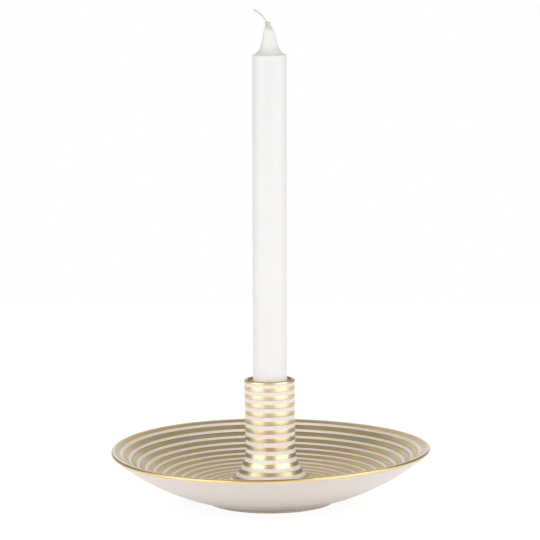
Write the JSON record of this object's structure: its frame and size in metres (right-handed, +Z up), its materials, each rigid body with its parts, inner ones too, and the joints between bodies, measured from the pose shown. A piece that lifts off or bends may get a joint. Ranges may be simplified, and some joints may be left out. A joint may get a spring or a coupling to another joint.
{
  "type": "candle plate",
  "caption": "Shallow round stoneware dish on a foot ring with a flared central socket banded in gold, holding a white dinner candle that lifts out.",
  "frame": {"origin": "on the axis of the dish, in the plane that the foot ring stands on", "axes": "+Z up along the candle; the wick's bare end bends towards -X"},
  "size_m": [0.2046, 0.2046, 0.3152],
  "materials": {
    "white_glaze": "satin",
    "gold_lustre": "satin",
    "bare_clay": "matte",
    "candle_wax": "satin",
    "wick_cotton": "matte"
  },
  "bodies": {
    "holder": {"dish": "white_glaze", "candle_socket": "white_glaze"},
    "candle": {"candle": "candle_wax", "wick": "wick_cotton"}
  },
  "joints": [
    {"name": "candle_lift", "type": "slide", "parent": "holder", "child": "candle", "axis": [0, 0, 1], "range_m": [0, 0.03]}
  ]
}
